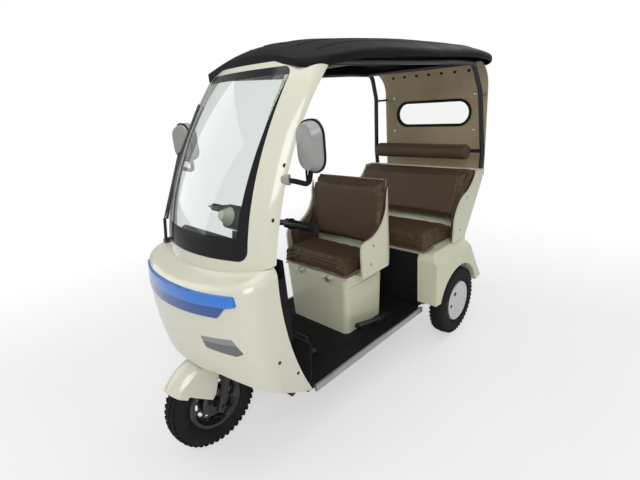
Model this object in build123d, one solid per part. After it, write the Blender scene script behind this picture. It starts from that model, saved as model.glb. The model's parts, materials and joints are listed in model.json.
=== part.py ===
from build123d import *
import math
import os

# Roofed electric passenger tricycle: one steered front wheel, two rear wheels,
# a moulded nose and screen surround, a driver's bucket seat on a box and a
# rear bench under a hard roof. Millimetres, Z up, nose towards -Y.
# The origin is on the ground, midway along the length.

# Running gear
WHEELBASE = 1298.0
TRACK = 712.0
TYRE_R = 187.0
TYRE_W = 80.0
RIM_R = 108.0
BEAD_R = 101.0
BEAD_X = 28.0
TREAD_X = 25.0
AXLE_R = 8.0
RUN_GAP = 0.3

# Overall places
REAR_OVERHANG = 435.0
OVERALL = TYRE_R + WHEELBASE + REAR_OVERHANG
FRONT = TYRE_R - OVERALL / 2
REAR = FRONT + WHEELBASE
FLOOR_Z = 232.0
FLOOR_T = 20.0
SILL_X = 315.0
ROOF_X = 374.0

# Steering
RAKE = 22.0
STEER_BACK = 17.0
STEER_STOP = 28.0
LEG_X = 66.0
LEG_R = 15.0
CROWN_UP = 238.0
STEM_R = 16.0
BAR_UP = 705.0
BAR_HALF = 325.0
BAR_R = 11.0
CLAMP_R = 24.0
POD_DEPTH = 66.0
POD_BACK = CLAMP_R + POD_DEPTH / 2 + 0.3

# Front mouldings: stations are measured back from the front axle
NOSE_WALL = 8.0
SCREEN_WALL = 22.0
FRONT_BOW_R = 650.0
SEAM_Z = 785.0
SEAM_S = 130.0
SEAM_SLOPE = 16.0
BROW_R = 46.0
GLASS_T = 5.0
FIT = 0.3

# height, half width, front station, corner radius
NOSE_SECTIONS = (
    (200, 306, 10, 85),
    (300, 333, -38, 90),
    (420, 345, -70, 95),
    (560, 348, -88, 92),
    (700, 345, -82, 88),
    (850, 340, -55, 85),
)
SCREEN_SECTIONS = (
    (730, 341, 15, 85),
    (900, 341, 48, 80),
    (1060, 339, 113, 75),
    (1220, 334, 207, 70),
    (1410, 325, 355, 60),
)
# side view of the door opening's front edge and the lower lip: station, height
DOOR_TOP = (458, 1385)
DOOR_MID = (253, 1118)
DOOR_WAIST = (129, 740)
DOOR_LOW = (143, 520)
DOOR_FOOT = (263, 222)
LIP_FRONT = (-40, 408)
LIP_MID = (117, 305)

# Roof: station back from the front axle, half width, edge height, crown height
ROOF_SECTIONS = (
    (372, 262, 1372, 1438),
    (425, 318, 1372, 1466),
    (560, 360, 1390, 1492),
    (850, 374, 1404, 1508),
    (1250, 374, 1406, 1514),
    (1560, 372, 1400, 1510),
    (1680, 350, 1384, 1490),
    (1733, 290, 1376, 1446),
)
ROOF_LIP = 32.0
ROOF_WALL = 6.0
ROOF_FILLET = 22.0
ROOF_ARCH_X = 300.0
ROOF_ARCH_Z = 1414.0

# Driver's seat: stations back from the front axle
SEAT_FRONT = 615.0
SEAT_LEN = 275.0
SEAT_BOX_TOP = 508.0
SEAT_BOX_X = 198.0
SEAT_BOX_DRAFT = 15.0
SHELL_X = 245.0
SHELL_WALL = 10.0
SEAT_TOP = 918.0
CUSHION_T = 72.0
SEAT_TILT = 45.0
HINGE_S = -7.0
HINGE_Z = SEAT_BOX_TOP - 4
HINGE_R = 6.0
HINGE_PIN_R = 3.0

# Rear body: stations are measured back from the rear axle
BODY_X = 372.0
BODY_FRONT = -245.0
BENCH_Z = 520.0
BENCH_X = 372.0
BENCH_TOP = 852.0
BENCH_CUSHION_T = 80.0
ARCH_R = 206.0
WELL_X = 300.0
TAIL_S = 225.0
TAIL_LOW_Z = 300.0
DECK_T = 8.0

# Chassis tubes
RAIL_TUBE_R = 13.0
RAIL_TUBE_X = 225.0
DOWN_TUBE_S = 214.0
KICK_Z = 330.0
AXLE_TUBE_R = 24.0
ARM_S = -262.0

# Canopy frame
POST_X = 352.0
POST_S = 314.0
POST_FOOT_X = 330.0
POST_FOOT_S = 130.0
ROLL_X = 298.0
ROLL_Z = 943.0
ROLL_R = 42.0
ROLL_BAR_R = 10.0
POST_R = 12.5
RAIL_X = 318.0
RAIL_Z = 1388.0
PANEL_S = 402.0
PANEL_T = 3.0
PANEL_CLIP_X = 318.0

def at(x, s, z):
    """Point with its station measured back from the front axle."""
    return Vector(x, FRONT + s, z)


def rear(x, s, z):
    """Point with its station measured back from the rear axle."""
    return Vector(x, REAR + s, z)


def box(x0, x1, y0, y1, z0, z1):
    """Box between two corners."""
    size = Box(x1 - x0, y1 - y0, z1 - z0)
    return Pos((x0 + x1) / 2, (y0 + y1) / 2, (z0 + z1) / 2) * size


def side_plate(face_yz, x0, x1):
    """Extrude a side view drawn as (y, z) from x0 to x1."""
    return extrude(Plane.YZ.offset(x0) * face_yz, x1 - x0)


def side_face(*edges):
    """Closed side view from connected edges."""
    return make_face(Curve() + list(edges))


def rod(a, b, r):
    """Round bar from a to b."""
    line = Vector(b) - Vector(a)
    return Plane(origin=a, z_dir=line) * Cylinder(r, line.length, align=LOW)


def bent_tube(points, bend_r, r):
    """Round tube along straight runs joined by bends."""
    path = FilletPolyline(*points, radius=bend_r)
    return sweep(Plane(origin=path @ 0, z_dir=path % 0) * Circle(r), path=path)


def both(shape):
    """A piece and its mirror image across the middle plane."""
    return [shape, mirror(shape, about=Plane.YZ)]


LOW = (Align.CENTER, Align.CENTER, Align.MIN)


def turned_x(outline):
    """Turn an (x, r) outline about the X axis."""
    face = make_face(Polyline(*outline, close=True))
    return revolve(face, Axis.X, 360)


def tyre():
    """Tyre of the small wheel, centred on the origin."""
    half = TYRE_W / 2
    low = BEAD_R + RUN_GAP
    shoulder_r = TYRE_R - 6
    profile = Curve() + [
        Line((-BEAD_X, low), (-BEAD_X, RIM_R + 8)),
        ThreePointArc((-BEAD_X, RIM_R + 8), (-half, (RIM_R + 8 + shoulder_r) / 2), (-TREAD_X, shoulder_r)),
        ThreePointArc((-TREAD_X, shoulder_r), (0, TYRE_R), (TREAD_X, shoulder_r)),
        ThreePointArc((TREAD_X, shoulder_r), (half, (RIM_R + 8 + shoulder_r) / 2), (BEAD_X, RIM_R + 8)),
        Line((BEAD_X, RIM_R + 8), (BEAD_X, low)),
        Line((BEAD_X, low), (-BEAD_X, low)),
    ]
    return revolve(make_face(profile), Axis.X, 360)


def well():
    """Flanges, bead seats and drop centre that both rims share, as (x, r)."""
    seat = BEAD_X + FIT
    half = [(36, RIM_R), (31, RIM_R + 5), (seat, RIM_R), (seat, BEAD_R), (20, BEAD_R), (14, 90)]
    return [(-x, r) for x, r in half] + [(x, r) for x, r in reversed(half[1:])]


def front_rim():
    """Pressed rim with oval windows, drum and a bored hub."""
    bore = AXLE_R + RUN_GAP
    outline = (
        *well(), (36, RIM_R), (34, 96), (17, 84), (5, 84), (5, 62), (30, 58), (34, 50),
        (34, 22), (42, 20), (42, bore), (-42, bore), (-42, 20), (-18, 24), (-18, 60), (1, 64),
        (1, 84), (-17, 84), (-34, 96),
    )
    rim = turned_x(outline)
    window = extrude(Plane.YZ.offset(-10) * SlotCenterToCenter(14, 13), 40)
    for i in range(12):
        turn = 360 / 12 * i
        rim -= Rot(turn, 0, 0) * Pos(0, 73, 0) * Rot(90, 0, 0) * window
    return rim


def rear_rim():
    """Plain pressed rim and hub behind the cover disc."""
    bore = AXLE_R + 4 + RUN_GAP
    outline = (
        *well(), (36, RIM_R), (33, 95), (14, 84), (8, 84), (8, 40), (14, 30),
        (14, bore), (-44, bore), (-44, 34), (4, 40), (4, 84), (-14, 84), (-34, 96),
    )
    return turned_x(outline)


def wheel_cover():
    """Flat-domed cover disc with its valve hole, facing +X."""
    outline = (
        (36.4, 98), (36.4, 106), (38.5, 106), (41, 97), (44, 70), (46, 30), (46.5, 0),
        (43.5, 0), (43, 30), (41, 70), (38.5, 94),
    )
    cover = turned_x(outline)
    return cover - Pos(30, -84, 0) * Rot(0, 90, 0) * Cylinder(9, 40)


def steer_plane():
    """Plane whose Z axis is the steering axis, at axle height."""
    return Plane(origin=at(0, STEER_BACK, TYRE_R), x_dir=(1, 0, 0), z_dir=steer_axis())


def steer_axis():
    """Unit vector up the steering axis."""
    rake = math.radians(RAKE)
    return Vector(0, math.sin(rake), math.cos(rake))


def steer_point(x, back, up):
    """Point given by the steering axis: sideways, behind it and up it."""
    rake = math.radians(RAKE)
    y = STEER_BACK + up * math.sin(rake) + back * math.cos(rake)
    z = TYRE_R + up * math.cos(rake) - back * math.sin(rake)
    return at(x, y, z)


def front_fork():
    """Fork legs, crown, stem and the wheel spindle."""
    shift = -STEER_BACK * math.cos(math.radians(RAKE))
    low = -STEER_BACK * math.sin(math.radians(RAKE))
    parts = []
    for x in (-LEG_X, LEG_X):
        parts.append(rod(steer_point(x, shift, low - 22), steer_point(x, shift, 120), LEG_R))
        parts.append(rod(steer_point(x, shift, 110), steer_point(x, shift, CROWN_UP + 18), LEG_R - 3))
    crown = extrude(RectangleRounded(2 * LEG_X + 34, 44, 16), 18)
    parts.append(steer_plane() * Pos(0, shift / 2, CROWN_UP) * crown)
    parts.append(rod(steer_point(0, 0, CROWN_UP + 2), steer_point(0, 0, BAR_UP), STEM_R))
    parts.append(rod(at(-LEG_X - 22, 0, TYRE_R), at(LEG_X + 22, 0, TYRE_R), AXLE_R))
    fork = parts[0]
    for piece in parts[1:]:
        fork += piece
    return fork


def front_fender():
    """Arched fender with side skirts that end at the fork legs."""
    out_r = TYRE_R + 26
    half = LEG_X - LEG_R + 3 - FIT
    skirt_x = half
    wall = 3.0
    outer = Curve() + [
        Line((-half, 150), (-half, out_r - 26)),
        ThreePointArc((-half, out_r - 26), (0, out_r), (half, out_r - 26)),
        Line((half, out_r - 26), (half, 150)),
        Line((half, 150), (half - wall, 150)),
        Line((half - wall, 150), (half - wall, out_r - 27.5)),
        ThreePointArc((half - wall, out_r - 27.5), (0, out_r - wall), (wall - half, out_r - 27.5)),
        Line((wall - half, out_r - 27.5), (wall - half, 150)),
        Line((wall - half, 150), (-half, 150)),
    ]
    section = make_face(outer)
    arc = revolve(section, Axis.X, 110)
    front_lip = 142.0
    arc = Pos(0, FRONT, TYRE_R) * Rot(front_lip - 110, 0, 0) * arc
    leg_front = side_face(
        Polyline(
            (FRONT - 118, TYRE_R + 108), (FRONT - 150, TYRE_R + 140), (FRONT - 60, TYRE_R + 170),
            (FRONT + 26, TYRE_R + 140), (FRONT - 6, TYRE_R + 50), (FRONT - 24, TYRE_R + 34),
            (FRONT - 60, TYRE_R + 62), close=True,
        )
    )
    inside = Pos(0, FRONT, TYRE_R) * Rot(0, 90, 0) * Cylinder(out_r - 24, 300)
    for x0, x1 in ((-skirt_x, -skirt_x + wall), (skirt_x - wall, skirt_x)):
        arc += side_plate(leg_front, x0, x1) & inside
    return arc


def handlebar():
    """Bar with a raised, swept-back form on its clamp."""
    mid = steer_point(0, 0, BAR_UP + 14)
    bend = steer_point(120, 12, BAR_UP + 22)
    end, tip = bar_end()
    half = [mid, bend, end, tip]
    other = [Vector(-p.X, p.Y, p.Z) for p in reversed(half[1:])]
    bar = bent_tube(other + half, 40, BAR_R)
    clamp = steer_plane() * Pos(0, 0, BAR_UP + FIT) * Cylinder(CLAMP_R, 26, align=LOW)
    return bar + clamp


def bar_end():
    """The straight end of the bar, where the grip and lever sit."""
    return steer_point(BAR_HALF - 150, 32, BAR_UP + 30), steer_point(BAR_HALF - 4, 48, BAR_UP + 30)


def grips():
    """Hand grips with a flange, one each side."""
    inner, tip = bar_end()
    run = (tip - inner).normalized()
    grip = rod(inner + run * 32, tip + run * 6, 16.5)
    grip += rod(inner + run * 32, inner + run * 38, 21)
    grip -= rod(inner, tip + run * 0.5, BAR_R + FIT)
    return both(grip)


def brake_levers():
    """Lever perches and curved blades ahead of the grips."""
    inner, tip = bar_end()
    run = (tip - inner).normalized()
    perch_at = inner + run * 11
    perch = rod(perch_at, perch_at + run * 20, 18)
    perch -= rod(perch_at - run * 5, perch_at + run * 26, BAR_R + FIT)
    ahead = Vector(0, -math.cos(math.radians(RAKE)), math.sin(math.radians(RAKE)))
    a = perch_at + run * 10 + ahead * 17
    b = a + run * 14 + ahead * 20
    c = a + run * 62 + ahead * 26
    d = a + run * 120 + ahead * 12
    lever = bent_tube([a, b, c, d], 14, 5)
    return both(perch + lever)


def instrument_pod():
    """Rounded instrument housing above the clamp."""
    pod = Box(104, POD_DEPTH, 92)
    pod = fillet(pod.edges(), 24)
    return steer_plane() * Pos(0, -POD_BACK, BAR_UP + 12) * pod


def column_cowl():
    """Tapered cover round the steering column."""
    low = steer_plane().offset(BAR_UP - 150) * RectangleRounded(70, 64, 24)
    high = steer_plane().offset(BAR_UP - 42) * RectangleRounded(100, 84, 30)
    cowl = loft([low, high])
    cowl -= rod(steer_point(0, 0, BAR_UP - 160), steer_point(0, 0, BAR_UP - 20), STEM_R + FIT)
    return cowl


def nacelle():
    """Cream cone in front of the instruments."""
    back = steer_plane().offset(BAR_UP + 12)
    face_y = -POD_BACK - POD_DEPTH / 2 - FIT
    base_at = back.from_local_coords((0, face_y, 0))
    base = Plane(origin=base_at, z_dir=back.from_local_coords((0, face_y - 1, 0)) - base_at)
    return loft([base * Circle(36), base.offset(34) * Circle(18)])


def front_face(half_w, front_s, corner_r, z):
    """Plan section of the front form: bowed front, round corners, straight sides."""
    sag = FRONT_BOW_R - math.sqrt(FRONT_BOW_R**2 - half_w**2)
    y0 = FRONT + front_s
    y1 = y0 + sag
    back = FRONT + 600
    face = make_face(
        Curve() + [
            Line((half_w, back), (half_w, y1)),
            ThreePointArc((half_w, y1), (0, y0), (-half_w, y1)),
            Line((-half_w, y1), (-half_w, back)),
            Line((-half_w, back), (half_w, back)),
        ]
    )
    corners = face.vertices().sort_by(Axis.Y)[:2]
    return Plane.XY.offset(z) * fillet(corners, corner_r)


def front_form(sections, inset):
    """Smooth body through plan sections, moved inwards by the inset."""
    faces = []
    for z, half_w, front_s, corner_r in sections:
        faces.append(front_face(half_w - inset, front_s + inset, corner_r - inset, z))
    return loft(faces)


def side_mask():
    """Side view of what the front mouldings cover, as a solid across the width."""
    low = at(0, *LIP_FRONT)
    mid = at(0, *LIP_MID)
    foot = at(0, *DOOR_FOOT)
    edge_low = at(0, *DOOR_LOW)
    waist = at(0, *DOOR_WAIST)
    edge_mid = at(0, *DOOR_MID)
    top = at(0, *DOOR_TOP)
    ahead = FRONT - 300
    over = top.Z + 80
    face = side_face(
        Line((ahead, low.Z), (low.Y, low.Z)),
        ThreePointArc((low.Y, low.Z), (mid.Y, mid.Z), (foot.Y, foot.Z - 6)),
        ThreePointArc((foot.Y, foot.Z - 6), (edge_low.Y, edge_low.Z), (waist.Y, waist.Z)),
        ThreePointArc((waist.Y, waist.Z), (edge_mid.Y, edge_mid.Z), (top.Y, top.Z)),
        Line((top.Y, top.Z), (top.Y, over)),
        Line((top.Y, over), (ahead, over)),
        Line((ahead, over), (ahead, low.Z)),
    )
    return side_plate(face, -500, 500)


def below_seam(drop):
    """Everything below the sloping seam plane, lowered by the drop."""
    seam = Plane(
        origin=at(0, SEAM_S, SEAM_Z - drop),
        x_dir=(1, 0, 0),
        z_dir=(0, -math.sin(math.radians(SEAM_SLOPE)), math.cos(math.radians(SEAM_SLOPE))),
    )
    return seam * Pos(0, 0, -1000) * Box(1400, 2400, 2000)


def nose_solid(inset):
    """Nose form under the seam with its brow rounded."""
    solid = front_form(NOSE_SECTIONS, inset) & below_seam(inset)
    slope = math.radians(SEAM_SLOPE)
    up = Vector(0, -math.sin(slope), math.cos(slope))
    flat = [f for f in solid.faces() if f.geom_type == GeomType.PLANE and f.normal_at().dot(up) > 0.999]
    brow = [e for e in flat[0].edges() if e.center().Y < FRONT + 130]
    return fillet(brow, BROW_R - inset)


GLASS_OUTLINE = ((-262, 800), (262, 800), (236, 1388), (-236, 1388))


def glass_band(grow, depth0, depth1):
    """Windscreen-shaped piece of the screen form."""
    face = make_face(Polyline(*GLASS_OUTLINE, close=True))
    face = offset(fillet(face.vertices(), 34), grow)
    drum = extrude(Plane.XZ * face, 900, both=True)
    return (front_form(SCREEN_SECTIONS, depth0) - front_form(SCREEN_SECTIONS, depth1)) & drum


def ahead_only(shape):
    """Keep what lies ahead of the cabin."""
    return shape & box(-600, 600, FRONT - 400, FRONT + 480, 0, 1600)


def screen_frame():
    """Surround of the windscreen with its two pillars."""
    shell = front_form(SCREEN_SECTIONS, 0) - front_form(SCREEN_SECTIONS, SCREEN_WALL)
    shell = (shell & side_mask()) - below_seam(-FIT)
    shell -= box(-500, 500, FRONT - 300, FRONT + 700, 1408, 1600)
    shell -= Pos(0, -FIT, -FIT) * roof_block()
    shell -= glass_band(0.8, -5, GLASS_T + 0.8)
    return shell - glass_band(-18, -10, SCREEN_WALL + 10)


def windshield():
    """Curved windscreen pane, flush in its rebate."""
    return ahead_only(glass_band(0, 0.5, GLASS_T + 0.5))


BAR_OUTLINE = (
    (-292, 722), (292, 722), (300, 690), (262, 682), (236, 648), (-236, 648), (-262, 682),
    (-300, 690),
)
LAMP_OUTLINE = ((150, 566), (272, 572), (302, 522), (276, 508), (164, 522))


def nose_band(points, radius, grow, depth0, depth1):
    """Piece of the nose form inside a front-view outline."""
    face = make_face(Polyline(*points, close=True))
    face = fillet(face.vertices(), radius)
    if grow:
        face = offset(face, grow)
    drum = extrude(Plane.XZ.offset(-FRONT) * face, 200) + extrude(Plane.XZ.offset(-FRONT) * face, -150)
    return (front_form(NOSE_SECTIONS, depth0) - front_form(NOSE_SECTIONS, depth1)) & drum


def nose_shell():
    """One-piece nose with pockets for the light bar and the lamps."""
    shell = (nose_solid(0) - nose_solid(NOSE_WALL)) & side_mask()
    shell -= nose_band(BAR_OUTLINE, 6, 0.6, -12, NOSE_WALL + 6)
    for points in (LAMP_OUTLINE, [(-x, z) for x, z in LAMP_OUTLINE]):
        shell -= nose_band(points, 6, 0.6, -12, NOSE_WALL + 6)
    return shell


def light_bar():
    """Translucent light bar across the nose."""
    return nose_band(BAR_OUTLINE, 6, 0, -5, NOSE_WALL - 1)


def headlamps():
    """Two angular lamp units let into the nose."""
    lamp = nose_band(LAMP_OUTLINE, 6, 0, 0.5, NOSE_WALL - 1)
    return [lamp, mirror(lamp, about=Plane.YZ)]


APRON_S = 162.0
APRON_TOE_S = 246.0
APRON_T = 5.0
APRON_RETURN = 42.0


def inner_apron():
    """Black inner leg shield that steps back over the wheel, with side returns."""
    t = APRON_T
    y = FRONT
    top = SEAM_Z + (APRON_S - SEAM_S) * math.tan(math.radians(SEAM_SLOPE)) - 1
    face = side_face(
        Polyline(
            (y + APRON_S, top), (y + APRON_S, 520), (y + APRON_TOE_S, 440),
            (y + APRON_TOE_S, FLOOR_Z + FIT), (y + APRON_TOE_S + t, FLOOR_Z + FIT),
            (y + APRON_TOE_S + t, 442), (y + APRON_S + t, 522), (y + APRON_S + t, top), close=True,
        )
    )
    space = front_form(NOSE_SECTIONS, NOSE_WALL + FIT)
    panel = side_plate(face, -400, 400) & space
    ring = space - front_form(NOSE_SECTIONS, NOSE_WALL + FIT + APRON_T)
    sides = ring & box(-400, 400, y + APRON_S - APRON_RETURN, y + APRON_S + t, 500, 735)
    panel += sides
    hole = steer_plane() * Pos(0, 0, 300) * Cylinder(STEM_R + 16, 260, align=LOW)
    return panel - hole


def dash_tray():
    """Tray between the windscreen and the apron."""
    room = front_form(SCREEN_SECTIONS, SCREEN_WALL + FIT)
    tray = (room & below_seam(-24)) - below_seam(-FIT)
    tray &= box(-285, 285, FRONT, FRONT + APRON_S + APRON_T, 700, 900)
    return tray - box(-130, 130, FRONT + 90, FRONT + APRON_S - 10, 785, 900)


def wiper():
    """Wiper spindle, arm and blade on the right half of the screen."""
    x = WIPER_X
    knee = screen_point(x - 6, 880, 26)
    hold = screen_point(x + 12, 1120, 24)
    parts = rod(screen_point(x, 792, -10), screen_point(x, 792, 28), 11)
    parts += rod(screen_point(x, 798, 22), knee, 6)
    parts += rod(knee, hold, 3)
    blade = [screen_point(x + 14, 880, 18), screen_point(x + 12, 1070, 18), screen_point(x + 26, 1290, 18)]
    parts += bent_tube(blade, 900, 5) + rod(screen_point(x + 12, 1118, 16), hold, 4)
    return parts - front_form(SCREEN_SECTIONS, -FIT)


def screen_front(z):
    """Front station of the screen form at a height, by straight interpolation."""
    rows = SCREEN_SECTIONS
    for low, high in zip(rows, rows[1:]):
        if low[0] <= z <= high[0]:
            part = (z - low[0]) / (high[0] - low[0])
            return low[2] + part * (high[2] - low[2])
    return rows[-1][2]


def screen_point(x, z, stand):
    """Point standing ahead of the screen surface."""
    sag = FRONT_BOW_R - math.sqrt(FRONT_BOW_R**2 - x**2)
    return Vector(x, FRONT + screen_front(z) + sag - stand, z)


WIPER_X = -236.0
MIRROR_X = 385.0
MIRROR_S = 290.0
MIRROR_Z = 1142.0


def mirror_units():
    """Mirror housings on bent arms from the pillars."""
    rim = Plane.XZ * RectangleRounded(116, 160, 50)
    shell = loft([rim, Plane.XZ.offset(28) * RectangleRounded(96, 138, 44)]) + extrude(rim, -12)
    shell = Pos(MIRROR_X, FRONT + MIRROR_S, MIRROR_Z) * Rot(0, 0, -14) * shell
    cut = front_form(SCREEN_SECTIONS, -FIT)
    arm = bent_tube(
        [at(326, 218, 1046), at(352, 236, 1040), at(362, 286, 1020), at(372, 292, 1092)], 14, 7
    )
    foot = rod(at(318, 214, 1046), at(340, 226, 1046), 17)
    return both((arm + foot) - cut + shell)


def floor_pan():
    """Flat floor with a toe board rise and a rear step."""
    front_y = FRONT + APRON_TOE_S - 4
    back_y = REAR + BODY_FRONT - 6
    pan = box(-SILL_X + 4, SILL_X - 4, front_y, back_y, FLOOR_Z - FLOOR_T, FLOOR_Z)
    pan = fillet(pan.edges().filter_by(Axis.Z), 20)
    shell = front_form(NOSE_SECTIONS, NOSE_WALL + FIT)
    front_part = pan & box(-400, 400, FRONT, FRONT + 300, 0, 400) & shell
    rest = pan & box(-400, 400, FRONT + 300, REAR + 300, 0, 400)
    return front_part + rest


def sill_trims():
    """Bright sill strips along the floor's edges."""
    y0 = FRONT + 270
    y1 = REAR + BODY_FRONT - 6
    strip = box(SILL_X - 4 + FIT, SILL_X + 10, y0, y1, FLOOR_Z - FLOOR_T - 4, FLOOR_Z + 4)
    strip = fillet(strip.edges().filter_by(Axis.Y), 4)
    return both(strip)


def rail_height():
    """Height of the floor rails' centre lines."""
    return FLOOR_Z - FLOOR_T - RAIL_TUBE_R - FIT


def chassis_frame():
    """Welded tube frame: head tube, down tube, floor rails and rear kick-up."""
    rail_z = rail_height()
    head_low = steer_point(0, 0, CROWN_UP + 24)
    head_high = steer_point(0, 0, CROWN_UP + 164)
    frame = rod(head_low, head_high, STEM_R + RUN_GAP + 6)
    down = [steer_point(0, 24, CROWN_UP + 90), at(0, DOWN_TUBE_S, 420), at(0, DOWN_TUBE_S, rail_z)]
    frame += bent_tube(down, 40, RAIL_TUBE_R - 1)
    cross_x = RAIL_TUBE_X + RAIL_TUBE_R + 8
    frame += rod(at(-cross_x, DOWN_TUBE_S, rail_z), at(cross_x, DOWN_TUBE_S, rail_z), RAIL_TUBE_R + 1)
    for x in (-RAIL_TUBE_X, RAIL_TUBE_X):
        rail = [
            at(x, DOWN_TUBE_S, rail_z), rear(x, -200, rail_z), rear(x, -110, KICK_Z),
            rear(x, 130, KICK_Z),
        ]
        frame += bent_tube(rail, 60, RAIL_TUBE_R)
    for s in (620, 860):
        frame += rod(at(-RAIL_TUBE_X, s, rail_z), at(RAIL_TUBE_X, s, rail_z), RAIL_TUBE_R - 3)
    for s in (-95, 120):
        frame += rod(rear(-RAIL_TUBE_X, s, KICK_Z), rear(RAIL_TUBE_X, s, KICK_Z), RAIL_TUBE_R - 3)
        for x in (-RAIL_TUBE_X, RAIL_TUBE_X):
            frame += rod(rear(x, s, KICK_Z), rear(x, s, BENCH_Z - DECK_T - FIT), RAIL_TUBE_R - 1)
    return frame - rod(steer_point(0, 0, CROWN_UP + 10), steer_point(0, 0, CROWN_UP + 200), STEM_R + RUN_GAP)


def seat_box():
    """Drafted seat box with a groove round it, hollow for the battery."""
    y0 = FRONT + SEAT_FRONT
    length = SEAT_LEN
    z0 = FLOOR_Z + FIT
    z1 = SEAT_BOX_TOP
    mid_y = y0 + length / 2

    def block(inset, low, high):
        base = Plane.XY.offset(low) * Pos(0, mid_y) * RectangleRounded(
            2 * (SEAT_BOX_X - SEAT_BOX_DRAFT - inset), length - 2 * inset - 8, 26 - inset
        )
        top = Plane.XY.offset(high) * Pos(0, mid_y) * RectangleRounded(
            2 * (SEAT_BOX_X - inset), length - 2 * inset, 26 - inset
        )
        return loft([base, top])

    shell = block(0, z0, z1) - block(5, z0 - 1, z1 - 6)
    groove = block(0, z0, z1) - block(3, z0, z1)
    return shell - (groove & box(-400, 400, y0 - 100, y0 + 400, 462, 470))


def battery_pack():
    """Battery block inside the seat box."""
    y0 = FRONT + SEAT_FRONT + 28
    return box(-150, 150, y0, y0 + 215, FLOOR_Z + FIT, FLOOR_Z + 190)


def seat_side_view(extra):
    """Side view of the driver's shell: wing, sweep and backrest."""
    y0 = FRONT + SEAT_FRONT
    z0 = SEAT_BOX_TOP + 0.4
    e = extra
    return side_face(
        Line((y0 + 62 - e, z0), (y0 + 62 - e, 636 + e)),
        ThreePointArc((y0 + 62 - e, 636 + e), (y0 + 76 - e, 664 + e), (y0 + 104, 674 + e)),
        ThreePointArc((y0 + 104, 674 + e), (y0 + 215 - e, 716 + e), (y0 + 262 - e, 800)),
        ThreePointArc((y0 + 262 - e, 800), (y0 + 272 - e, 862), (y0 + 292 - e, SEAT_TOP - 14 + e)),
        Line((y0 + 292 - e, SEAT_TOP - 14 + e), (y0 + 318, SEAT_TOP - 14 + e)),
        ThreePointArc((y0 + 318, SEAT_TOP - 14 + e), (y0 + 318, 740), (y0 + 262, z0)),
        Line((y0 + 262, z0), (y0 + 62 - e, z0)),
    )


def seat_tub(outer_x, wall):
    """Plan shape of a bucket: a back and two wings, as a tall solid."""
    y0 = FRONT + SEAT_FRONT
    outer = Pos(0, y0 + 120) * RectangleRounded(2 * outer_x, 400, 78)
    return extrude(Plane.XY.offset(SEAT_BOX_TOP + 0.4) * outer, 440)


def driver_seat_shell():
    """Moulded bucket shell: seat pan, wings and back."""
    view = side_plate(seat_side_view(0), -SHELL_X, SHELL_X)
    tub = view & seat_tub(SHELL_X, 0)
    inner = side_plate(seat_side_view(0), -SHELL_X + SHELL_WALL, SHELL_X - SHELL_WALL)
    hollow = Pos(0, -SHELL_WALL, SHELL_WALL) * inner
    big = Pos(0, -60, SHELL_WALL) * inner
    shell = tub - hollow - big
    pan = box(-SEAT_BOX_X, SEAT_BOX_X, FRONT + SEAT_FRONT + 2, FRONT + SEAT_FRONT + 150,
              SEAT_BOX_TOP + 0.4, SEAT_BOX_TOP + 0.4 + SHELL_WALL)
    return shell + pan + seat_knuckles()


def driver_cushion():
    """Driver's seat cushion."""
    y0 = FRONT + SEAT_FRONT - 8
    z0 = SEAT_BOX_TOP + SHELL_WALL + 1.0
    inner_x = SHELL_X - SHELL_WALL - 1
    pad = box(-inner_x + 24, inner_x - 24, y0, y0 + 232, z0, z0 + CUSHION_T)
    return fillet(pad.edges(), 16)


def driver_back_pad():
    """Padded back that fills the bucket."""
    y0 = FRONT + SEAT_FRONT
    inner_x = SHELL_X - SHELL_WALL - 1
    face = side_face(
        Polyline(
            (y0 + 226, SEAT_BOX_TOP + CUSHION_T + 14), (y0 + 262, SEAT_TOP - 14),
            (y0 + 284, SEAT_TOP), (y0 + 360, SEAT_TOP), (y0 + 360, SEAT_BOX_TOP + CUSHION_T + 14),
            close=True,
        )
    )
    back = side_plate(seat_side_view(0), -inner_x, inner_x)
    back = Pos(0, -SHELL_WALL - FIT, SHELL_WALL) * back
    return side_plate(face, -inner_x + 20, inner_x - 20) & back


def hinge_rod(x0, x1, r):
    """Round bar along the seat hinge's axis."""
    y = FRONT + SEAT_FRONT + HINGE_S
    return rod(Vector(x0, y, HINGE_Z), Vector(x1, y, HINGE_Z), r)


def seat_hinge():
    """Fixed knuckles and pins of the seat's front hinge."""
    y = FRONT + SEAT_FRONT + HINGE_S
    knuckle = hinge_rod(80, 100, HINGE_R) + hinge_rod(58, 122, HINGE_PIN_R)
    knuckle += box(80, 100, y, FRONT + SEAT_FRONT - FIT, HINGE_Z - 18, HINGE_Z - 1)
    return both(knuckle)


def seat_knuckles():
    """Moving knuckles of the seat's front hinge with their leaves."""
    y = FRONT + SEAT_FRONT + HINGE_S
    leaf = None
    for x0, x1 in ((60, 79.7), (100.3, 120)):
        piece = hinge_rod(x0, x1, HINGE_R)
        piece += box(x0, x1, y - 3, FRONT + SEAT_FRONT + 12, SEAT_BOX_TOP + 0.4, SEAT_BOX_TOP + 4)
        leaf = piece if leaf is None else leaf + piece
    leaf -= hinge_rod(40, 140, HINGE_PIN_R + FIT)
    return leaf + mirror(leaf, about=Plane.YZ)


def hand_brake():
    """Parking brake lever with its button, boot and base beside the seat box."""
    x = 232.0
    base = box(x - 16, x + 16, FRONT + 760, FRONT + 880, FLOOR_Z + FIT, FLOOR_Z + 20)
    lever = rod(Vector(x, FRONT + 800, FLOOR_Z + 18), Vector(x, FRONT + 660, FLOOR_Z + 52), 9)
    grip = rod(Vector(x, FRONT + 740, FLOOR_Z + 33), Vector(x, FRONT + 640, FLOOR_Z + 57), 13)
    knob = rod(Vector(x, FRONT + 642, FLOOR_Z + 56.5), Vector(x, FRONT + 628, FLOOR_Z + 60), 7)
    return base + lever + grip + knob


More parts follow.
